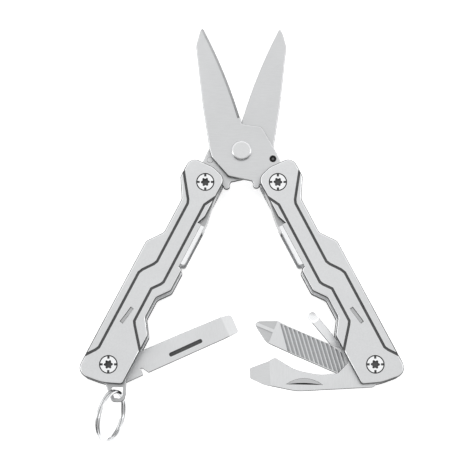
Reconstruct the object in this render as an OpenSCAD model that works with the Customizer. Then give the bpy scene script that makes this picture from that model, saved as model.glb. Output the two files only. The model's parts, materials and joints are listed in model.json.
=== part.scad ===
// Pocket multi tool: two folding handles around spring scissors, with a
// package opener, a bottle opener, a rib file with a cross driver tip and
// an ear pick folded out of the handles, and a split ring on a swinging lug.
// The tool lies on its back: X across, Y along the scissors, Z through its
// thickness. The origin is below the middle of its box, on the surface.

/* [Handles] */
// Thickness over both side plates of a handle
tool_t = 8.6; // [8.2:0.1:9.4]
// Thickness of one side plate
plate_t = 1.4; // [1.2:0.1:1.5]
// Distance between the two pivots of a handle
pivot_span = 54; // [53:0.5:56]
// Angle of each unfolded handle from the centre line
handle_splay = 27.4; // [26:0.2:29]
// Depth of the two decorative grooves
groove_d = 0.2; // [0.1:0.05:0.4]
// Width of the two decorative grooves
groove_w = 0.6; // [0.3:0.05:0.7]

/* [Pivots] */
// Radius of the screw heads
head_r = 2.15; // [2:0.05:2.5]
// Radius of the pivot barrels that the tools turn on
barrel_r = 1.5; // [1.3:0.05:1.6]
// Running clearance around a barrel or rivet
run_gap = 0.04; // [0.02:0.01:0.08]
// Radius of the round base of each tool
base_r = 3.4; // [3:0.05:3.45]

/* [Scissors] */
// Thickness of one scissor half
half_t = 1.4; // [1.3:0.05:1.4]
// Half of the distance between the two head pivots
head_x = 9.55; // [9.4:0.05:9.7]
// How far the head pivots lie below the rivet
head_drop = 9.1; // [8.9:0.05:9.3]
// Width of the ground cutting bevel
bevel_w = 0.75; // [0.4:0.05:1]
// Radius of the rivet's shaft
rivet_r = 1.6; // [1.4:0.05:1.8]
// Radius of the rivet's heads
rivet_head_r = 2.75; // [2.5:0.05:3]

/* [Tools] */
// Thickness of the package opener and of the rib file
slim_t = 1.4; // [1.2:0.1:1.4]
// Thickness of the ear pick
pick_t = 1; // [0.8:0.1:1]
// Thickness of the bottle opener and of the ring's lug
bottle_t = 1.5; // [1.3:0.1:1.5]
// Number of ribs on the file
rib_count = 15; // [12:1:16]

/* [Key ring] */
// Mean radius of the split ring
ring_r = 6.45; // [6:0.05:7]
// Radial width of the ring's wire
wire_r = 0.9; // [0.7:0.05:1]
// Width of the ring's two turns together
wire_w = 1.5; // [1.2:0.1:1.6]
// Angle between the ring and the surface
ring_tilt = 67; // [60:1:75]
// Sideways lean of the ring from the centre line
ring_lean = 14; // [5:0.5:17]

/* [Hidden] */
$fn = 64;
eps = 0.01;

// Heights of the four layers between the plates, from the surface up:
// ear pick; back half and package opener; front half and file; bottle opener and lug
side_gap = 0.1;
inner_lo = plate_t;
inner_hi = tool_t - plate_t;
pick_z = inner_lo + side_gap;
low_z = pick_z + pick_t + side_gap;
high_z = low_z + half_t + side_gap;
bottle_z = inner_hi - side_gap - bottle_t;
back_half_z = low_z;
front_half_z = high_z;

// Places of the pivots in the XY plane, seen from the rivet
tool_x = head_x + pivot_span * sin(handle_splay);
tool_drop = head_drop + pivot_span * cos(handle_splay);

// The split ring: where it passes through the lug, seen from the tool pivot
hook = [2.45, -7];
ring_outer = ring_r + wire_r / 2;
ring_z = ring_outer * sin(ring_tilt) + wire_w / 2 * cos(ring_tilt) + 0.2;
hook_z = bottle_z + bottle_t / 2;
hook_turn = asin((hook_z - ring_z) / (ring_r * sin(ring_tilt)));
ring_across = ring_r * (cos(hook_turn) * sin(ring_lean)
    - sin(hook_turn) * cos(ring_tilt) * cos(ring_lean));
ring_along = ring_r * (cos(hook_turn) * cos(ring_lean)
    + sin(hook_turn) * cos(ring_tilt) * sin(ring_lean));
ring_x = -tool_x + hook[0] - ring_across;
ring_y = -tool_drop + hook[1] - ring_along;

// The rivet's place puts the middle of the tool's box at the origin
tip_y = 34.2;
ring_ny = sin(ring_tilt) * sin(ring_lean);
ring_low = ring_y - ring_outer * sqrt(1 - ring_ny * ring_ny) - wire_w / 2 * ring_ny;
rivet_y = -(tip_y + ring_low) / 2;

steel = [0.8, 0.8, 0.82];
spring_steel = [0.7, 0.7, 0.72];
bright_steel = [0.88, 0.88, 0.9];

// Outline helpers -----------------------------------------------------

function unit(v) = v / norm(v);
function flat(p) = [p[0], p[1]];

// Points of the round of radius b[2] at corner b, between a and c
function corner(a, b, c) =
    let (d1 = unit(flat(a) - flat(b)), d2 = unit(flat(c) - flat(b)),
        half = acos(d1 * d2) / 2,
        r = b[2],
        start = flat(b) + d1 * r / tan(half),
        end = flat(b) + d2 * r / tan(half),
        mid = flat(b) + unit(d1 + d2) * r / sin(half),
        a1 = atan2(start[1] - mid[1], start[0] - mid[0]),
        a2 = atan2(end[1] - mid[1], end[0] - mid[0]),
        turn = (a2 - a1 + 540) % 360 - 180,
        n = max(2, ceil(abs(turn) / 9)))
    r == 0 ? [flat(b)]
        : [for (i = [0:n]) mid + r * [cos(a1 + turn * i / n), sin(a1 + turn * i / n)]];

// A closed outline whose corners [x, y, r] are rounded
function rounded(p) =
    let (n = len(p))
    [for (i = [0:n - 1]) each corner(p[(i + n - 1) % n], p[i], p[(i + 1) % n])];

// A shallow curve from p to q that stands out by rise at its middle
function bow(p, q, rise, n) =
    let (side = unit([q[1] - p[1], p[0] - q[0]]))
    [for (i = [0:n]) let (t = i / n) p + (q - p) * t - side * 4 * rise * t * (1 - t)];

// The outline of a line of width w along points p
function side_of(p, i) =
    let (n = len(p),
        d1 = unit(p[min(i + 1, n - 1)] - p[min(i, n - 2)]),
        d2 = unit(p[max(i, 1)] - p[max(i - 1, 0)]),
        d = unit(d1 + d2))
    [-d[1], d[0]] / (d * d1);
function stroke(p, w) =
    let (n = len(p))
    concat([for (i = [0:n - 1]) p[i] - side_of(p, i) * w / 2],
        [for (i = [n - 1:-1:0]) p[i] + side_of(p, i) * w / 2]);

module plate_of(outline, z, t) {
    translate([0, 0, z]) linear_extrude(t) polygon(outline);
}

// Placing -------------------------------------------------------------

module at_rivet() {
    translate([0, rivet_y, 0]) children();
}

// The right handle's frame: x from its tool pivot to its head pivot, y inward
module right_handle() {
    at_rivet() translate([tool_x, -tool_drop, 0]) rotate(90 + handle_splay) children();
}

module left_handle() {
    mirror([1, 0, 0]) right_handle() children();
}

// A tool unfolded at a given direction, with its own x along the tool
module right_tool(angle) {
    at_rivet() translate([tool_x, -tool_drop, 0]) rotate(angle) children();
}

// Handles -------------------------------------------------------------

plate_outline = rounded([
    [-5.9, -6.5, 2.6], [-4.95, 0.7, 9], [-2.9, 5.55, 1.1],
    [11.3, 5.55, 1.2], [15.2, 2.8, 0.9], [20.9, 2.8, 1.8], [24.3, 5.4, 1.3],
    [30.95, 5.4, 1.1], [31, 4.25, 0],
    [43.4, 4.25, 0], [43.45, 3.35, 0], [45.8, 4.24, 0], [57.3, 4.2, 2.4], [58.6, 0, 5], [58.3, -6.55, 2.4],
    [52.3, -6.5, 1], [47.2, -3.4, 1.5], [37.2, -3.4, 1.5], [33, -6.5, 1.4]]);
inner_groove = [[6.3, 6.05], [12.1, 1.25], [13, 0.65], [22.5, 0.63],
    [24.7, 2.3], [25.5, 2.65], [48.5, 2.6], [52.6, 4.75]];
outer_groove = [[-1.2, -6.9], [1.8, -4.75], [2.8, -4.25], [24.7, -4.28],
    [25.9, -3.75], [28.5, -1.85], [29.5, -1.4], [46.8, -1.45], [47.8, -1.85], [55, -7.15]];
slot_a = [11.1, -2.17];
slot_b = [15.8, -1.42];
slot_w = 0.9;
head_t = 0.9;

// One side plate, lying on z = 0 with its outer face up
module side_plate() {
    difference() {
        linear_extrude(plate_t) difference() {
            polygon(plate_outline);
            polygon(stroke([slot_a, slot_b], slot_w));
        }
        for (x = [0, pivot_span]) translate([x, 0, 0]) {
            translate([0, 0, -1]) cylinder(r = barrel_r + 0.02, h = plate_t + 2);
            translate([0, 0, plate_t - head_t]) cylinder(r = head_r + 0.2, h = plate_t);
        }
        for (g = [inner_groove, outer_groove])
            translate([0, 0, plate_t - groove_d]) linear_extrude(plate_t)
                polygon(stroke(g, groove_w));
    }
}

module front_plate() {
    translate([0, 0, tool_t - plate_t]) side_plate();
}

module back_plate() {
    translate([0, 0, plate_t]) mirror([0, 0, 1]) side_plate();
}

// Web pad across the handle's inner edge, with the finger that holds the head
module head_spring() {
    pad = rounded([[31.7, 4.27, 0], [43.3, 4.27, 0], [43.3, 5.35, 0.15], [31.7, 5.35, 0.8]]);
    web = [[42, 3.2], [43.3, 3.2], [43.3, 4.6], [42, 4.6]];
    finger = [[43, 3.3], [44.6, 3.95], [47, 3.8], [49.8, 3.48], [53.9, 3.1],
        [53.9, 3.88], [49.8, 4.31], [47.8, 4.67], [44.8, 5.23], [43, 5.23]];
    difference() {
        plate_of(pad, 0, tool_t);
        // Room between the pad's ears for the tips of the folded tools
        translate([31, 4, inner_lo]) cube([11, 2, inner_hi - inner_lo]);
    }
    plate_of(web, inner_lo + 0.02, inner_hi - inner_lo - 0.04);
    plate_of(finger, inner_lo + 0.15, inner_hi - inner_lo - 0.3);
}

// Leaf that holds the tools open or shut, with tabs through both plates
module tool_spring() {
    slope = atan2(slot_b[1] - slot_a[1], slot_b[0] - slot_a[0]);
    leaf_t = 0.8;
    tab_in = 0.3;
    translate([slot_a[0], slot_a[1], 0]) rotate(slope) {
        translate([-14.3, -leaf_t / 2, inner_lo + 0.05])
            cube([17.3, leaf_t, inner_hi - inner_lo - 0.1]);
        for (z = [0.3, inner_hi - tab_in])
            translate([0.1, -leaf_t / 2, z]) cube([4.5, leaf_t, plate_t - 0.3 + tab_in]);
    }
}

// Screw with a six-lobe socket and four small rim notches
module pivot_screw() {
    shank_r = 0.9;
    lobe = 0.28;
    difference() {
        union() {
            translate([0, 0, tool_t - head_t + 0.02]) cylinder(r = head_r, h = head_t - 0.04);
            translate([0, 0, 3]) cylinder(r = shank_r, h = tool_t - 3.5);
        }
        translate([0, 0, tool_t - 0.72]) {
            cylinder(r = 0.84, h = 2);
            for (a = [0:60:300]) rotate(a) translate([0.86, 0, 0]) cylinder(r = lobe, h = 2);
        }
        for (a = [0:90:270]) rotate(a - handle_splay)
            translate([head_r - 0.65, -0.25, tool_t - 0.35]) cube([1, 0.5, 1]);
    }
}

// Barrel nut that the screw goes into, with its flat head at the back
module pivot_nut() {
    difference() {
        union() {
            translate([0, 0, 0.02]) cylinder(r = head_r, h = head_t - 0.04);
            translate([0, 0, 0.5]) cylinder(r = barrel_r, h = tool_t - head_t - 0.5);
        }
        translate([0, 0, 2.2]) cylinder(r = 0.92, h = tool_t);
    }
}

// Washer on a barrel that fills the height from z1 to z2
module spacer(z1, z2) {
    spacer_r = 2.9;
    slack = 0.03;
    translate([0, 0, z1 + slack]) difference() {
        cylinder(r = spacer_r, h = z2 - z1 - 2 * slack);
        translate([0, 0, -1]) cylinder(r = barrel_r + 0.05, h = z2 - z1 + 2);
    }
}

// Scissors ------------------------------------------------------------

edge_top = [-10.15, 33.7];
edge_low = [-0.38, 9.15];
edge = bow(edge_low, edge_top, -0.62, 6);
stop_pin = [8.35, -2.2];
pin_r = 0.8;
knuckle = [3.95, -9.25];
// The opening spring: a coil round the rivet with two legs down into the halves
coil_r = 2.1;
leg_end = [4.4, -3.7];
// Fan-shaped room for the legs as the scissors close: its radius, and the angles it starts and ends at
fan_r = 6.3;
fan_from = -146;
fan_to = -3;

half_corners = [
    [-10.42, tip_y, 0.3], [-11.25, 32.6, 1], [-12.2, 28.9, 2.6], [-10.35, 12.5, 0],
    [-8.45, 0.3, 1.6], [-7.9, -1.7, 1.2], [-3.55, -6.8, 1.2], [2.75, -8.15, 0.2],
    [3.6, -9.5, 0], [4.35, -9.6, 0], [5.4, -8.9, 0], [7.4, -10.2, 0], [9.1, -10.4, 0],
    [11.5, -7.8, 0], [10.2, -2.5, 2], [8.95, 0.2, 5], [5.4, 6.55, 1.7],
    [0.15, 7.3, 0.3], [-0.1, 8.4, 0.5]];

// Outline of the half whose blade points left and whose arm goes right
half_shape = rounded(concat(half_corners, [for (p = edge) [p[0], p[1], 0]]));

// One half, with its mating face on z = 0 and its outer face up
module scissor_half() {
    recess_d = 0.6;
    difference() {
        linear_extrude(half_t) difference() {
            union() {
                polygon(half_shape);
                translate([head_x, -head_drop]) circle(r = 3);
                translate(knuckle) circle(r = 0.9);
            }
            translate([head_x, -head_drop]) circle(r = barrel_r + run_gap);
            circle(r = rivet_r + run_gap);
            translate(stop_pin) circle(r = pin_r);
        }
        // Bevel ground along the cutting edge
        for (i = [0:len(edge) - 2]) let (d = edge[i + 1] - edge[i], back = norm(edge[i] - edge[0]))
            translate([edge[i][0], edge[i][1], 0]) rotate(atan2(d[1], d[0]))
                translate([-back, 0, 0]) rotate([90, 0, 90])
                    linear_extrude(norm(edge_top - edge_low) + 3)
                        polygon([[0, 0.4], [bevel_w, half_t], [bevel_w, half_t + 1],
                            [-2, half_t + 1], [-2, 0.4]]);
        // Recess for the opening spring, and the ring round the pin's head
        translate([0, 0, -eps]) linear_extrude(recess_d + eps) {
            circle(r = coil_r + 0.6);
            polygon(concat([[0, 0]], [for (k = [0:14]) let (a = fan_from + (fan_to - fan_from) * k / 14)
                fan_r * [cos(a), sin(a)]]));
        }
        translate([stop_pin[0], stop_pin[1], half_t - 0.35]) cylinder(r = pin_r + 0.1, h = 1);
    }
}

module front_blade() {
    color(steel) at_rivet() translate([0, 0, front_half_z]) scissor_half();
}

module back_blade() {
    color(steel) at_rivet() translate([0, 0, back_half_z + half_t])
        mirror([1, 0, 0]) mirror([0, 0, 1]) scissor_half();
}

module scissor_rivet() {
    head_h = 0.8;
    top = front_half_z + half_t + 0.02;
    low = back_half_z - 0.02;
    color(bright_steel) at_rivet() rotate_extrude() polygon([
        [0, low - head_h], [rivet_head_r - 0.5, low - head_h], [rivet_head_r, low - 0.35],
        [rivet_head_r, low], [rivet_r, low], [rivet_r, top], [rivet_head_r, top],
        [rivet_head_r, top + 0.3], [rivet_head_r - 0.6, top + head_h], [0, top + head_h]]);
}

// Opening spring in the recesses between the halves
module scissor_spring() {
    mid_z = (front_half_z + back_half_z + half_t) / 2;
    wire = 1;
    leg_w = 0.5;
    color(spring_steel) at_rivet() translate([0, 0, mid_z - wire / 2]) linear_extrude(wire)
        difference() {
            union() {
                circle(r = coil_r + 0.35);
                for (side = [-1, 1]) polygon(stroke(side > 0
                    ? [[0.9, -1.9], leg_end] : [[-leg_end[0], leg_end[1]], [-0.9, -1.9]], leg_w));
            }
            circle(r = coil_r - 0.35);
        }
}

// Stop pin pressed into a half, with its head sunk below the half's outer face
module stop_pin_piece() {
    translate([stop_pin[0], stop_pin[1], 0]) {
        cylinder(r = pin_r, h = half_t - 0.35);
        translate([0, 0, half_t - 0.4]) cylinder(r = 0.4, h = 0.3);
    }
}

module front_stop_pin() {
    color(spring_steel) at_rivet() translate([0, 0, front_half_z]) stop_pin_piece();
}

module back_stop_pin() {
    color(spring_steel) at_rivet() translate([0, 0, back_half_z + half_t])
        mirror([1, 0, 0]) mirror([0, 0, 1]) stop_pin_piece();
}

// Handle nodes --------------------------------------------------------

module left_front_plate() { color(steel) left_handle() front_plate(); }
module left_back_plate() { color(steel) left_handle() back_plate(); }
module left_head_spring() { color(spring_steel) left_handle() head_spring(); }
module left_tool_spring() { color(spring_steel) left_handle() tool_spring(); }
module left_head_screw() {
    color(bright_steel) left_handle() translate([pivot_span, 0, 0]) pivot_screw();
}
module left_head_nut() {
    color(bright_steel) left_handle() translate([pivot_span, 0, 0]) pivot_nut();
}
module left_head_upper_spacer() {
    color(steel) left_handle() translate([pivot_span, 0, 0]) spacer(high_z - side_gap, inner_hi);
}
module left_head_lower_spacer() {
    color(steel) left_handle() translate([pivot_span, 0, 0]) spacer(inner_lo, low_z);
}
module left_tool_screw() { color(bright_steel) left_handle() pivot_screw(); }
module left_tool_nut() { color(bright_steel) left_handle() pivot_nut(); }
module left_tool_upper_spacer() {
    color(steel) left_handle() spacer(high_z - side_gap, bottle_z);
}
module left_tool_lower_spacer() { color(steel) left_handle() spacer(inner_lo, low_z); }

module right_front_plate() { color(steel) right_handle() front_plate(); }
module right_back_plate() { color(steel) right_handle() back_plate(); }
module right_head_spring() { color(spring_steel) right_handle() head_spring(); }
module right_tool_spring() { color(spring_steel) right_handle() tool_spring(); }
module right_head_screw() {
    color(bright_steel) right_handle() translate([pivot_span, 0, 0]) pivot_screw();
}
module right_head_nut() {
    color(bright_steel) right_handle() translate([pivot_span, 0, 0]) pivot_nut();
}
module right_head_upper_spacer() {
    color(steel) right_handle() translate([pivot_span, 0, 0])
        spacer(high_z + half_t, inner_hi);
}
module right_head_lower_spacer() {
    color(steel) right_handle() translate([pivot_span, 0, 0]) spacer(inner_lo, high_z);
}
module right_tool_screw() { color(bright_steel) right_handle() pivot_screw(); }
module right_tool_nut() { color(bright_steel) right_handle() pivot_nut(); }
module right_tool_spacer() {
    color(steel) right_handle() spacer(pick_z + pick_t, high_z);
}

// Tools ---------------------------------------------------------------

// A flat tool: its outline and round base, with the barrel's bore
module tool_blank(outline, z, t) {
    translate([0, 0, z]) linear_extrude(t) difference() {
        union() {
            polygon(outline);
            circle(r = base_r);
        }
        circle(r = barrel_r + run_gap);
    }
}

opener_outline = rounded([
    [0, -3.3, 0], [1.6, -2.95, 0], [9, -0.15, 3], [20, 0, 0], [31.6, 0.4, 0],
    [34.4, 0.75, 1.1], [34.3, 5.8, 0.5], [30, 5.95, 0], [8.5, 5.8, 0.3],
    [7.5, 4.1, 0.15], [7.05, 3.95, 0.1], [6.9, 5.8, 0.2], [0.9, 5.8, 1.2], [-1.8, 2.8, 0]]);

// Package opener: a flat pry blade with a nail groove and a small hook notch
module package_opener() {
    top = low_z + slim_t;
    color(steel) mirror([1, 0, 0]) right_tool(180 - 24.5) difference() {
        tool_blank(opener_outline, low_z, slim_t);
        translate([0, 0, top - 0.5]) linear_extrude(1) {
            polygon(rounded([[15.3, 3.45, 0.4], [24.6, 3.42, 0.4], [24.6, 4.4, 0.4],
                [15.3, 4.42, 0.4]]));
        }
        // Tip thinned from its top face
        translate([31.6, -2, top]) rotate([0, 12, 0]) cube([6, 10, 2]);
    }
}

bottle_outline = rounded([
    [0, -3.4, 0], [2.5, -2.2, 0], [6.6, -1.2, 0.6], [9.6, 1.65, 1.2], [14.2, 1.9, 9],
    [20.6, 0.3, 12], [25.6, -3.25, 0.9], [27.6, -2.35, 2], [32.4, -0.9, 0.4],
    [32.4, 1.75, 0.4], [28.8, 3.6, 5], [20.5, 5.75, 12], [0.6, 5.73, 1.2], [-2.3, 2.5, 0]]);

module bottle_opener() {
    top = bottle_z + bottle_t;
    nick_a = [13.8, 4.45];
    nick_b = [23.2, 3.8];
    slope = atan2(nick_b[1] - nick_a[1], nick_b[0] - nick_a[0]);
    color(steel) right_tool(183) difference() {
        tool_blank(bottle_outline, bottle_z, bottle_t);
        // Nail nick: a floor that slopes down to a narrow deep slot
        intersection() {
            translate([0, 0, top - 1]) linear_extrude(2) polygon(bow(nick_a, nick_b, -1.6, 8));
            translate([nick_a[0], nick_a[1], top - 0.25]) rotate(slope) rotate([-7, 0, 0])
                translate([-1, -4, 0]) cube([12, 6, 3]);
        }
        translate([0, 0, top - 0.7]) linear_extrude(1) polygon(bow(nick_a, nick_b, -0.44, 6));
        // Driver tip thinned from both faces
        translate([27.2, -6, top]) rotate([0, 9, 0]) cube([8, 12, 2]);
        translate([27.2, -6, bottle_z]) mirror([0, 0, 1]) rotate([0, 4, 0]) cube([8, 12, 2]);
    }
}

file_outline = rounded([
    [0, -3.4, 0], [2.6, -2.2, 0], [8, -0.65, 3], [24.6, -0.95, 0], [27.5, -1.2, 1.5],
    [32.1, 0.75, 0.8], [32.7, 1.72, 0.4], [31.9, 2.6, 0.8], [28.2, 5.15, 3],
    [20, 5.45, 0], [4, 5.7, 2], [-2.3, 2.5, 0]]);

// Rib file with a cross-point driver tip
module rib_file() {
    top = high_z + slim_t;
    rib_step = 1.29;
    rib_d = 0.27;
    core_lo = 1.25;
    core_hi = 2.2;
    color(steel) right_tool(157.5) difference() {
        tool_blank(file_outline, high_z, slim_t);
        // Sloping V grooves between the ribs
        intersection() {
            for (i = [0:rib_count - 1])
                translate([6 + i * rib_step, 2.3, top]) rotate(38.5)
                    rotate([90, 45, 0]) translate([-rib_d, -rib_d, -5])
                        cube([2 * rib_d, 2 * rib_d, 10]);
            translate([0, 0, high_z]) linear_extrude(10)
                polygon([[6.8, 4.8], [6.6, 3], [9, 0.2], [12.5, -0.5], [26.6, -0.7], [22.2, 5.15],
                    [7.8, 5.3]]);
        }
        // Flutes of the driver tip, above and below
        for (z = [high_z - 2 + 0.4, top - 0.4], y = [core_lo - 4, core_hi])
            translate([27.6, y, z]) cube([8, 4, 2]);
    }
}

pick_outline = rounded([
    [1.2, -3.15, 0], [7.2, 1.4, 2], [12, 1.7, 0], [18, 1.05, 0], [21.55, 0.55, 1.1],
    [21.6, 2.9, 1.1], [18, 3.25, 0], [9, 4.1, 3], [-0.5, 3.35, 0]]);

// Ear pick: a slim bar with a small scoop at its round end
module ear_pick() {
    color(steel) right_tool(135) difference() {
        tool_blank(pick_outline, pick_z, pick_t);
        translate([20.2, 1.78, pick_z + pick_t + 4.75]) sphere(r = 5);
    }
}

lug_outline = rounded([
    [-2.7, 0.4, 0], [-0.7, -5.2, 2], [0.9, -9.55, 0.9], [3.9, -9.6, 1.5],
    [4.45, -7.4, 1], [4.45, -3.4, 1], [2.4, 0.9, 0]]);
lug_hole = rounded([[0.5, -5.6, 0.5], [3.7, -5.6, 0.4], [3.75, -7.85, 0.7],
    [2.95, -8.65, 0.5], [1.45, -8.5, 0.5]]);

module ring_lug() {
    color(steel) at_rivet() translate([-tool_x, -tool_drop, bottle_z]) linear_extrude(bottle_t)
        difference() {
            union() {
                polygon(lug_outline);
                circle(r = base_r);
            }
            circle(r = barrel_r + run_gap);
            polygon(lug_hole);
        }
}

// Split ring of two turns, leaning on the lug
module key_ring() {
    groove = 0.12;
    color(bright_steel) at_rivet() translate([ring_x, ring_y, ring_z])
        rotate(-ring_lean) rotate([0, ring_tilt, 0]) rotate_extrude() polygon([
            [ring_r - wire_r / 2, -wire_w / 2], [ring_outer, -wire_w / 2],
            [ring_outer, -groove], [ring_outer - groove, 0], [ring_outer, groove],
            [ring_outer, wire_w / 2], [ring_r - wire_r / 2, wire_w / 2],
            [ring_r - wire_r / 2, groove], [ring_r - wire_r / 2 + groove, 0],
            [ring_r - wire_r / 2, -groove]]);
}

back_blade();
front_blade();
scissor_rivet();
scissor_spring();
back_stop_pin();
front_stop_pin();
left_front_plate();
left_back_plate();
left_head_spring();
left_tool_spring();
left_head_screw();
left_head_nut();
left_head_upper_spacer();
left_head_lower_spacer();
left_tool_screw();
left_tool_nut();
left_tool_upper_spacer();
left_tool_lower_spacer();
right_front_plate();
right_back_plate();
right_head_spring();
right_tool_spring();
right_head_screw();
right_head_nut();
right_head_upper_spacer();
right_head_lower_spacer();
right_tool_screw();
right_tool_nut();
right_tool_spacer();
package_opener();
ring_lug();
key_ring();
bottle_opener();
rib_file();
ear_pick();
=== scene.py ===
"""Looks of the pocket multi tool: ground and bead-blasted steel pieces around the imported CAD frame."""

import json
import math

import bmesh
import bpy
from mathutils import Matrix, Vector
from mathutils.bvhtree import BVHTree
from mathutils.geometry import tessellate_polygon


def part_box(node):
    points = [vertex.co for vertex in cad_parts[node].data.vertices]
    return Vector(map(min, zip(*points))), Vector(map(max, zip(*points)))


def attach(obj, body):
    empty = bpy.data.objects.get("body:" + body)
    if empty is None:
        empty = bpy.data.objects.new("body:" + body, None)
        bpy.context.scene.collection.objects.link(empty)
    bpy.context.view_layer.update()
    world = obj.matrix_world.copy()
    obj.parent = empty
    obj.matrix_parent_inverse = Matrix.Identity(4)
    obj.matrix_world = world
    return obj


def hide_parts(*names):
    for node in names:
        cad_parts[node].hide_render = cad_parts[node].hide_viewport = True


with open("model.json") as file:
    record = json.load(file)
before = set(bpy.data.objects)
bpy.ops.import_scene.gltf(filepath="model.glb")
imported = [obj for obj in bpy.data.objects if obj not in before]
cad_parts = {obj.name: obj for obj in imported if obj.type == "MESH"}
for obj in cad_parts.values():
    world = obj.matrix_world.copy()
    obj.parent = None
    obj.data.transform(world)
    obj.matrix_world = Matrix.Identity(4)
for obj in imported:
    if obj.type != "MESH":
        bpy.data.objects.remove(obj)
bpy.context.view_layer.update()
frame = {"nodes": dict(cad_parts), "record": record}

MM = 0.001
RECORD = frame["record"]
BODY_OF = {n: body for body, nodes in RECORD["behaviour"]["bodies"].items() for n in nodes}


def centre(node):
    """The middle of a CAD node's box."""
    low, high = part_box(node)
    return (Vector(low) + Vector(high)) / 2


# Camera and light ----------------------------------------------------

# The photo's camera; its sensor and focal length are in mm
VIEW_TILT = math.radians(9.7)
VIEW_DISTANCE = 402 * MM
SENSOR = 36
FOCAL = 120.3
# The point in the middle of the view, at the height of the front plates' faces
AIM_X = -3.05 * MM
AIM_BELOW_RIVET = 21.92 * MM
AIM_Z = 8.6 * MM
AIM = Vector((AIM_X, centre("scissor_rivet").y - AIM_BELOW_RIVET, AIM_Z))


def add_camera():
    """The photo's view: nearly straight down, from a little toward -Y."""
    data = bpy.data.cameras.new("view_camera")
    data.lens = FOCAL
    data.sensor_width = SENSOR
    data.clip_start = 0.01
    camera = bpy.data.objects.new("view_camera", data)
    back = Matrix.Rotation(VIEW_TILT, 3, "X") @ Vector((0, 0, VIEW_DISTANCE))
    camera.location = AIM + back
    camera.rotation_euler = (VIEW_TILT, 0, 0)
    bpy.context.scene.collection.objects.link(camera)
    bpy.context.scene.camera = camera
    bpy.context.scene.view_settings.view_transform = "Standard"


def add_area_light(name, place, size, power, target=(0, 0, 0)):
    data = bpy.data.lights.new(name, "AREA")
    data.shape = "RECTANGLE"
    data.size, data.size_y = size
    data.energy = power
    light = bpy.data.objects.new(name, data)
    light.location = place
    light.rotation_euler = (Vector(target) - Vector(place)).to_track_quat("-Z", "Y").to_euler()
    bpy.context.scene.collection.objects.link(light)


def add_world():
    """A white studio tent: brightest halfway up, greyer overhead and low down, and dark on -Y."""
    world = bpy.data.worlds.new("studio")
    bpy.context.scene.world = world
    world.use_nodes = True
    nodes, links = world.node_tree.nodes, world.node_tree.links
    nodes.clear()
    coords = nodes.new("ShaderNodeTexCoord")
    split = nodes.new("ShaderNodeSeparateXYZ")
    back = nodes.new("ShaderNodeBackground")
    out = nodes.new("ShaderNodeOutputWorld")
    links.new(coords.outputs["Generated"], split.inputs[0])

    def ramp(source, stops):
        """Greys along source; stops are (position, grey) pairs, with the two ends first."""
        node = nodes.new("ShaderNodeValToRGB")
        elements = node.color_ramp.elements
        for k, (position, grey) in enumerate(stops):
            stop = elements[k] if k < 2 else elements.new(position)
            stop.position = position
            stop.color = (grey, grey, grey, 1)
        links.new(source, node.inputs["Fac"])
        return node.outputs["Color"]

    by_height = ramp(split.outputs["Z"], ((0.0, 0.8), (1.0, 0.66), (0.1, 0.5), (0.25, 0.62),
                                          (0.5, 0.66), (0.65, 0.92), (0.8, 0.85), (0.9, 0.66)))
    # Y runs from -1 to 1, and the ramp from 0 to 1
    lift = nodes.new("ShaderNodeMath")
    lift.operation = "MULTIPLY_ADD"
    lift.inputs[1].default_value = 0.5
    lift.inputs[2].default_value = 0.5
    links.new(split.outputs["Y"], lift.inputs[0])
    by_side = ramp(lift.outputs[0], ((0.0, 0.15), (1.0, 1.0), (0.25, 0.4), (0.5, 0.95)))
    both = nodes.new("ShaderNodeMix")
    both.data_type = "RGBA"
    both.blend_type = "MULTIPLY"
    both.inputs["Factor"].default_value = 1
    links.new(by_height, both.inputs["A"])
    links.new(by_side, both.inputs["B"])
    back.inputs["Strength"].default_value = 1.5
    links.new(both.outputs["Result"], back.inputs["Color"])
    links.new(back.outputs[0], out.inputs[0])


def add_floor():
    """A white floor that glows a little, so that it stays white under the grey tent."""
    mesh = bpy.data.meshes.new("studio_floor")
    half = 3.0
    low = -0.02 * MM
    mesh.from_pydata([(-half, -half, low), (half, -half, low), (half, half, low), (-half, half, low)],
                     [], [(0, 1, 2, 3)])
    floor = bpy.data.objects.new("studio_floor", mesh)
    bpy.context.scene.collection.objects.link(floor)
    paint = bpy.data.materials.new("floor_white")
    paint.use_nodes = True
    shader = paint.node_tree.nodes["Principled BSDF"]
    shader.inputs["Base Color"].default_value = (0.93, 0.93, 0.93, 1)
    shader.inputs["Roughness"].default_value = 0.9
    shader.inputs["Specular IOR Level"].default_value = 0.0
    shader.inputs["Emission Color"].default_value = (1, 1, 1, 1)
    shader.inputs["Emission Strength"].default_value = 0.6
    mesh.materials.append(paint)


# Materials -----------------------------------------------------------

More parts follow.
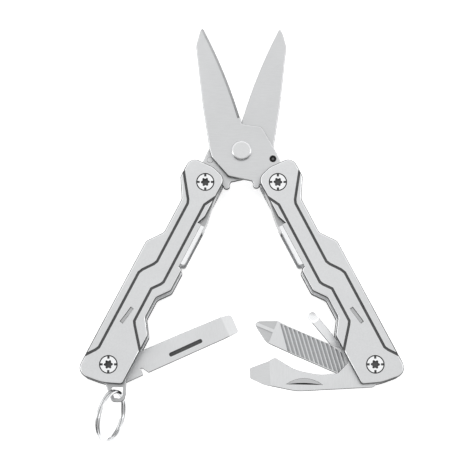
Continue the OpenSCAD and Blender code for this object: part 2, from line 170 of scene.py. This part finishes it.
def steel(name, grey, rough, grain=(1, 1, 1), grain_scale=900, bump=0.12, spread=0.05, tint=1.01):
    """Steel with a fine grain stretched by grain, cloudy tone and scattered hairline wear.

    grain scales the pattern along X, Y and Z, so a small number makes long strokes that way.
    spread is how far the tone strays from grey, and tint lifts blue over red.
    """
    made = bpy.data.materials.new(name)
    made.use_nodes = True
    nodes, links = made.node_tree.nodes, made.node_tree.links
    shader = nodes["Principled BSDF"]
    shader.inputs["Metallic"].default_value = 1.0
    coords = nodes.new("ShaderNodeTexCoord")

    def noise(scale, detail, stretch=(1, 1, 1)):
        place = nodes.new("ShaderNodeMapping")
        place.inputs["Scale"].default_value = stretch
        links.new(coords.outputs["Object"], place.inputs["Vector"])
        made_noise = nodes.new("ShaderNodeTexNoise")
        made_noise.inputs["Scale"].default_value = scale
        made_noise.inputs["Detail"].default_value = detail
        links.new(place.outputs["Vector"], made_noise.inputs["Vector"])
        return made_noise.outputs["Fac"]

    def ramp(source, low, high, a, b):
        node = nodes.new("ShaderNodeMapRange")
        node.inputs["From Min"].default_value = low
        node.inputs["From Max"].default_value = high
        node.inputs["To Min"].default_value = a
        node.inputs["To Max"].default_value = b
        links.new(source, node.inputs["Value"])
        return node.outputs["Result"]

    cloud_scale, stroke_scale = 70, 260
    fine = noise(grain_scale, 3, grain)
    cloud = noise(cloud_scale, 4)
    strokes = noise(stroke_scale, 2, (0.25, 1.6, 1))
    tone = nodes.new("ShaderNodeMix")
    tone.data_type = "RGBA"
    dark, light = grey * (1 - spread), grey * (1 + spread)
    tone.inputs["A"].default_value = (dark / tint, dark, dark * tint, 1)
    tone.inputs["B"].default_value = (light / tint, light, light * tint, 1)
    # The tone strays half by the grain and half by the clouds
    mixed = nodes.new("ShaderNodeMath")
    mixed.operation = "MULTIPLY_ADD"
    links.new(ramp(fine, 0.3, 0.7, 0, 0.5), mixed.inputs[0])
    mixed.inputs[1].default_value = 1.0
    links.new(ramp(cloud, 0.3, 0.7, 0, 0.5), mixed.inputs[2])
    links.new(mixed.outputs[0], tone.inputs["Factor"])
    links.new(tone.outputs["Result"], shader.inputs["Base Color"])
    links.new(ramp(strokes, 0.35, 0.75, rough * 0.9, rough * 1.15), shader.inputs["Roughness"])
    bumps = nodes.new("ShaderNodeBump")
    bumps.inputs["Strength"].default_value = bump
    bumps.inputs["Distance"].default_value = 0.02 * MM
    links.new(fine, bumps.inputs["Height"])
    links.new(bumps.outputs["Normal"], shader.inputs["Normal"])
    return made


def make_materials():
    return {
        "blasted": steel("blasted_plate", 0.74, 0.46, grain_scale=2600, bump=0.35),
        "ground": steel("ground_blade", 0.67, 0.4, grain=(0.3, 3, 1), grain_scale=1500, bump=0.18),
        "brushed": steel("brushed_tool", 0.76, 0.38, grain=(3, 0.4, 1), grain_scale=1500, bump=0.18),
        # The pick is painted paler than the other tools, as painted light against the shade of the
        # layers above it
        "pick": steel("pick_painted_light", 0.9, 0.34, grain=(3, 0.4, 1), grain_scale=1500, bump=0.15),
        "polished": steel("polished_steel", 0.97, 0.16, grain_scale=1200, bump=0.03, spread=0.02),
        "rivet": steel("rivet_steel", 0.74, 0.2, grain_scale=1200, bump=0.05, spread=0.02),
        "ring": steel("ring_wire", 0.7, 0.12, grain_scale=900, bump=0.03, spread=0.03),
        "edge": steel("polished_chamfer", 0.97, 0.3, grain_scale=1500, bump=0.06, spread=0.02),
        # Sides of pieces and the lower band of their rims: near-black painted shade
        "side_shade": steel("side_painted_shade", 0.12, 0.5, grain=(1, 1, 0.15), grain_scale=2400, bump=0.4, spread=0.15),
        "spring": steel("rolled_spring", 0.5, 0.34, grain=(0.3, 3, 1), grain_scale=1400, bump=0.12),
        # Recess floors, short walls and their rims: near-black painted shade
        "recess": steel("recess_painted_shade", 0.13, 0.6, grain_scale=2500, bump=0.4, spread=0.2),
        # Deep hollows such as the bottle opener's nick and the stop pins' holes: black painted shade
        "hollow": steel("hollow_painted_shade", 0.03, 0.7, grain_scale=2500, bump=0.3, spread=0.2),
        # The lug sits low between the plates, and its darker grey is painted shade
        "lug": steel("lug_steel", 0.5, 0.42, grain_scale=2000, bump=0.25),
        # Sloped faces and the file's grooves: ground steel painted darker, as painted shade
        "slope": steel("ground_slope_painted_shade", 0.6, 0.42, grain=(0.3, 3, 1), grain_scale=1500, bump=0.25),
        # The serrated bevel: painted darker as the shade between its fine teeth
        "serrated": steel("serrated_edge_painted_shade", 0.36, 0.42, grain_scale=2600, bump=0.3, spread=0.1),
    }


# Pieces --------------------------------------------------------------

# How upright a flat's normal is at least, and a wall's at most
FLAT_Z = 0.999
WALL_Z = 0.06
# Faces that turn less are shaded as one, and faces that turn hardly at all are one plane
SMOOTH_TURN = math.radians(50)
SAME_PLANE = math.radians(1)
# Sines of a rim's turns: below the first it runs straight on, below the second two sizes can't mitre
STRAIGHT = 0.05
BLUNT = 0.4
# The longest mitre at a sharp corner, in sizes of the rim
LONGEST_MITRE = 3
# A piece this near to a rim touches it
TOUCH = 0.5 * MM
# Heights that differ by less than the first are level, and points by less than the second are one
LEVEL = 0.003 * MM
HAIR = 0.001 * MM
# Where a rounded rim splits into its lower band, dark with painted shade, and its bright upper band,
# inward and downward
SPLIT_IN = 0.6
SPLIT_DOWN = 1 - math.sqrt(1 - (1 - SPLIT_IN) ** 2)
# Places of a refined piece's finishes in its material list
FLAT, EDGE, WALL, RECESS, SERRATED, SLOPE = range(6)


def is_flat(face):
    return abs(face.normal.z) > FLAT_Z


def is_wall(face):
    return abs(face.normal.z) < WALL_Z


def wall_height(face):
    """The height of the whole flat wall that a face is a part of."""
    wall, fresh = {face}, [face]
    while fresh:
        beside = {f for edge in fresh.pop().edges for f in edge.link_faces}
        more = {f for f in beside - wall if is_wall(f) and f.normal.angle(face.normal) < SAME_PLANE}
        wall |= more
        fresh += more
    zs = [v.co.z for f in wall for v in f.verts]
    return max(zs) - min(zs)


def rims_of(faces):
    """The closed loops round some faces: each vertex, and the face across the edge that follows it."""
    inside = set(faces)
    follow = {}
    for face in faces:
        for loop in face.loops:
            across = [f for f in loop.edge.link_faces if f is not face]
            if across and across[0] not in inside:
                follow[loop.vert] = (loop.link_loop_next.vert, across[0])
    rims = []
    while follow:
        first = vert = next(iter(follow))
        rim = []
        while vert in follow:
            after, neighbour = follow.pop(vert)
            rim.append((vert, neighbour))
            vert = after
        if vert is first and len(rim) > 2:
            rims.append(rim)
    return rims


def turns_left(rim, up):
    """True for an outline and false for a hole, as seen from above the flat."""
    first = rim[0][0].co
    area = Vector()
    for (a, _), (b, _) in zip(rim[1:], rim[2:]):
        area += (a.co - first).cross(b.co - first)
    return area.dot(up) > 0


def inset_of(before, here, after, up, size_before, size_after):
    """How a rim's vertex moves inward, so that both edges beside it move by their sizes."""
    # n1 and n2 point inward from the two edges, and t1 and t2 point along them
    n1 = up.cross((here - before).normalized())
    n2 = up.cross((after - here).normalized())
    turn = n1.cross(n2).dot(up)
    if abs(turn) < STRAIGHT or (abs(turn) < BLUNT and size_before != size_after):
        return (n1 + n2).normalized() * min(size_before, size_after)
    t1, t2 = n1.cross(up), n2.cross(up)
    move = (t2 * size_before - t1 * size_after) / turn
    limit = LONGEST_MITRE * max(size_before, size_after)
    return move if move.length < limit else move.normalized() * limit


def round_rims(bm, z, up, outer, inner, beside=None):
    """Rounds the rims of the flat faces at height z and fills the flats again.

    An outline over a full wall gets the outer size. Holes, the rims of recesses and edges that another
    piece, beside, touches get the inner one.
    """
    flats = [f for f in bm.faces if is_flat(f) and f.normal.z * up.z > 0
             and all(abs(v.co.z - z) < LEVEL for v in f.verts)]
    rims = rims_of(flats)
    sizes = []
    for rim in rims:
        full = outer if turns_left(rim, up) else inner
        row = []
        for (here, wall), (after, _) in zip(rim, rim[1:] + rim[:1]):
            close = beside and beside.find_nearest((here.co + after.co) / 2)[3] < TOUCH
            size = inner if close or wall.material_index == RECESS else full
            row.append(size * MM if is_wall(wall) else 0)
        sizes.append(row)
    bmesh.ops.delete(bm, geom=flats, context="FACES_ONLY")
    plans = []
    for rim, size in zip(rims, sizes):
        count = len(rim)
        places = [v.co.copy() for v, _ in rim]
        moves = [inset_of(places[i - 1], places[i], places[(i + 1) % count], up, size[i - 1], size[i])
                 for i in range(count)]
        drops = [min(size[i - 1], size[i]) for i in range(count)]
        plans.append((rim, places, moves, drops))
    tops = []
    for (rim, places, moves, drops), size in zip(plans, sizes):
        rings = [[v for v, _ in rim]]
        for share, fall in ((SPLIT_IN, SPLIT_DOWN), (1, 0)):
            rings.append([vert if move.length < HAIR else
                          bm.verts.new(place + move * share - up * drop * fall)
                          for (vert, _), place, move, drop in zip(rim, places, moves, drops)])
        for (vert, _), place, drop in zip(rim, places, drops):
            vert.co = place - up * drop
        # The lower band takes the side's painted shade, and rims at recesses take the recess's painted
        # shade
        for band, low, high in zip((WALL, EDGE), rings, rings[1:]):
            for i, (_, wall) in enumerate(rim):
                j = (i + 1) % len(rim)
                corners = list(dict.fromkeys((low[i], low[j], high[j], high[i])))
                if size[i] > 0 and len(corners) > 2:
                    strip = bm.faces.new(corners)
                    strip.material_index = RECESS if wall.material_index == RECESS else band
        tops.append(rings[-1])
    corners = [v for ring in tops for v in ring]
    for tri in tessellate_polygon([[v.co for v in ring] for ring in tops]):
        face = bm.faces.new([corners[i] for i in tri])
        face.normal_update()
        if face.normal.z * up.z < 0:
            face.normal_flip()
    bm.normal_update()


def finish_piece(bm, node, finishes):
    """Turns bm into the shown piece for a CAD node."""
    bm.normal_update()
    for face in bm.faces:
        face.smooth = True
    for edge in bm.edges:
        if len(edge.link_faces) == 2:
            a, b = edge.link_faces
            edge.smooth = a.normal.angle(b.normal, 0) < SMOOTH_TURN and is_flat(a) == is_flat(b)
    mesh = bpy.data.meshes.new(node + "_finished")
    bm.to_mesh(mesh)
    bm.free()
    for finish in finishes:
        mesh.materials.append(materials[finish])
    piece = bpy.data.objects.new(mesh.name, mesh)
    bpy.context.scene.collection.objects.link(piece)
    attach(piece, BODY_OF[node])
    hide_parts(node)
    return piece


def surface_of(node):
    mesh = frame["nodes"][node].data
    return BVHTree.FromPolygons([v.co for v in mesh.vertices], [p.vertices for p in mesh.polygons])


def refine(node, flat, outer=0.2, inner=0.05, wall="side_shade", edge="edge", recess="recess",
           slope="slope", deep=0.42, beside=None, extra=None):
    """A CAD node with rounded rims, and its flats, rims, walls and recesses each finished.

    outer and inner are the sizes of its rims in mm, and deep is the share of the piece's height that a
    wall must reach to count as its side, not as a recess.
    """
    margin = 0.05 * MM
    bm = bmesh.new()
    bm.from_mesh(frame["nodes"][node].data)
    bmesh.ops.remove_doubles(bm, verts=bm.verts, dist=HAIR)
    for face in bm.faces:
        face.material_index = FLAT
    low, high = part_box(node)
    height = high[2] - low[2]
    for face in bm.faces:
        zs = [v.co.z for v in face.verts]
        top, bottom = max(zs), min(zs)
        # Flats sunk below both faces and short walls take the recess material, a painted shade
        if is_flat(face) and bottom > low[2] + margin and top < high[2] - margin:
            face.material_index = RECESS
        elif is_wall(face):
            face.material_index = RECESS if wall_height(face) < deep * height else WALL
        elif not is_flat(face):
            face.material_index = SLOPE
    round_rims(bm, high[2], Vector((0, 0, 1)), outer, inner, beside)
    round_rims(bm, low[2], Vector((0, 0, -1)), outer, inner, beside)
    if extra:
        extra(bm, low[2], high[2])
    return finish_piece(bm, node, [flat, edge, wall, recess, "serrated", slope])


def serrate(side):
    """Fine ridges across the ground bevel of a cutting edge; side is the sign of the bevel's height."""
    pitch, depth, bare_tip = 0.4 * MM, 0.07 * MM, 1.5 * MM
    sunk, crest_at, width = 0.3 * depth, 0.38 * pitch, 0.76 * pitch
    low_end, high_end = 0.04, 0.95
    bevel_z = (0.45, 0.75)
    least_rise, level = 0.5 * MM, 0.01 * MM

    def ridge(bm, here, along, across, normal):
        ends = []
        for share in (low_end, high_end):
            foot = here + across * share
            ends.append([bm.verts.new(foot - normal * sunk),
                         bm.verts.new(foot + along * crest_at + normal * depth),
                         bm.verts.new(foot + along * width - normal * sunk)])
        (a0, a1, a2), (b0, b1, b2) = ends
        made = [bm.faces.new(c) for c in ((a0, b0, b1, a1), (a1, b1, b2, a2), (a2, b2, b0, a0),
                                          (a0, a1, a2), (b2, b1, b0))]
        bmesh.ops.recalc_face_normals(bm, faces=made)
        for face in made:
            face.material_index = SERRATED

    def add(bm, low, high):
        slopes = {f for f in bm.faces if bevel_z[0] < f.normal.z * side < bevel_z[1]}
        for face in slopes:
            face.material_index = SERRATED
        rim_z = high if side > 0 else low
        tip_y = max(v.co.y for f in slopes for v in f.verts)
        runs = []
        for edge in bm.edges:
            a, b = sorted((v.co.copy() for v in edge.verts), key=lambda p: p.y)
            slope = next((f for f in edge.link_faces if f in slopes), None)
            rise = abs(a.z - rim_z)
            if slope and abs(a.z - b.z) < level and rise > least_rise and b.y - a.y > pitch:
                runs.append((a, b, rise, slope.normal.copy()))
        for a, b, rise, normal in runs:
            along = (b - a).normalized()
            uphill = normal.cross(along)
            uphill *= side * rise / uphill.z
            for k in range(int((b - a).length / pitch)):
                here = a + along * k * pitch
                if here.y < tip_y - bare_tip:
                    ridge(bm, here, along, uphill, normal)
    return add


def lathe(node, profile, middle, finish, steps=96):
    """A turned piece: profile holds (radius, height) pairs in metres, from the top to the bottom."""
    bm = bmesh.new()
    rings = []
    for radius, height in profile:
        if radius == 0:
            rings.append([bm.verts.new((middle.x, middle.y, height))] * steps)
        else:
            rings.append([bm.verts.new((middle.x + radius * math.cos(2 * math.pi * k / steps),
                                        middle.y + radius * math.sin(2 * math.pi * k / steps), height))
                          for k in range(steps)])
    for upper, lower in zip(rings, rings[1:]):
        for k in range(steps):
            j = (k + 1) % steps
            corners = [upper[k], lower[k], lower[j], upper[j]]
            bm.faces.new(list(dict.fromkeys(corners)))
    return finish_piece(bm, node, [finish])


def make_rivet():
    """The scissor rivet: a shaft with two low heads that have wide rounded rims."""
    low, high = (Vector(p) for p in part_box("scissor_rivet"))
    middle = (low + high) / 2
    head_r = (high.x - low.x) / 2
    shaft_r, head_h, rim, flat = 1.6 * MM, 0.8 * MM, 0.62 * MM, 0.5 * MM
    arc = [math.radians(a) for a in range(0, 91, 15)]
    top = [(0, high.z), (head_r - rim - flat, high.z)]
    top += [(head_r - rim + rim * math.sin(a), high.z - rim + rim * math.cos(a)) for a in arc]
    top += [(head_r, high.z - head_h), (shaft_r, high.z - head_h)]
    mirrored = [(r, low.z + high.z - z) for r, z in reversed(top)]
    lathe("scissor_rivet", top + mirrored, middle, "rivet")


def make_key_ring():
    """A split ring: one wire wound twice, which steps across where its two ends meet."""
    mount = next(m for m in RECORD["mounts"] if m["name"] == "ring_loop")
    middle, axis = Vector(mount["pos_m"]), Vector(mount["axis"]).normalized()
    along = Vector((0, 0, 1)).cross(axis).normalized()
    across = axis.cross(along)
    mean_r, half_r, half_w, shift = 6.45 * MM, 0.44 * MM, 0.35 * MM, 0.38 * MM
    # In degrees: where the wire starts, how far it winds, and where and over how far it steps across
    start, turn, cross_at, cross_over = 205, 688, 330, 30
    step, sides = 4, 16
    # The power that squares the wire's round section a little, and the size of its first end
    squared, first_end = 0.7, 0.82
    bm = bmesh.new()
    rings = []
    for k in range(turn // step + 1):
        passed = k * step
        t = min(max((passed - cross_at) / cross_over, 0), 1)
        height = shift * (2 * t * t * (3 - 2 * t) - 1)
        angle = math.radians(start + passed)
        radial = along * math.cos(angle) + across * math.sin(angle)
        size = first_end if k == 0 else 1
        ring = []
        for i in range(sides):
            a = 2 * math.pi * i / sides
            x = math.copysign(abs(math.cos(a)) ** squared, math.cos(a)) * half_r * size
            y = math.copysign(abs(math.sin(a)) ** squared, math.sin(a)) * half_w * size
            ring.append(bm.verts.new(middle + radial * (mean_r + x) + axis * (height + y)))
        rings.append(ring)
    for a, b in zip(rings, rings[1:]):
        for i in range(sides):
            j = (i + 1) % sides
            bm.faces.new((a[i], a[j], b[j], b[i]))
    bm.faces.new(list(reversed(rings[0])))
    bm.faces.new(rings[-1])
    bmesh.ops.recalc_face_normals(bm, faces=bm.faces)
    finish_piece(bm, "key_ring", ["ring"])


# The object ----------------------------------------------------------

materials = make_materials()
add_camera()
add_world()
add_floor()
add_area_light("key_light", (-0.75, -0.05, 0.55), (0.3, 0.3), 0.8)
add_area_light("fill_light", (0.7, 0.1, 0.4), (0.3, 0.3), 0.5)

for side in ("left", "right"):
    spring = surface_of(f"{side}_head_spring")
    for face in ("front", "back"):
        refine(f"{side}_{face}_plate", "blasted", outer=0.34, inner=0.05, deep=0.7, beside=spring)
    refine(f"{side}_head_spring", "polished", outer=0.12, wall="spring", recess="spring")
    refine(f"{side}_tool_spring", "spring", outer=0.08, wall="spring", recess="spring")
    for end in ("head", "tool"):
        refine(f"{side}_{end}_screw", "polished", outer=0.14, inner=0.04, wall="polished")
        refine(f"{side}_{end}_nut", "polished", outer=0.14, inner=0.04, wall="polished")
refine("front_blade", "ground", outer=0.2, extra=serrate(1))
refine("back_blade", "ground", outer=0.2, extra=serrate(-1))
refine("package_opener", "brushed", outer=0.12, slope="brushed")
refine("bottle_opener", "brushed", outer=0.12, recess="hollow", slope="ground")
refine("rib_file", "brushed", outer=0.1, recess="slope")
refine("ear_pick", "pick", outer=0.12, recess="polished", slope="polished")
refine("ring_lug", "lug", outer=0.15)
# The front stop pin is painted all over in the dark shade colours
refine("front_stop_pin", "recess", outer=0.08, edge="serrated", recess="hollow")
refine("back_stop_pin", "ground", outer=0.08, recess="hollow")
make_rivet()
make_key_ring()
for node, item in frame["nodes"].items():
    if "spacer" in node or node == "scissor_spring":
        item.data.materials.clear()
        item.data.materials.append(materials["spring"])
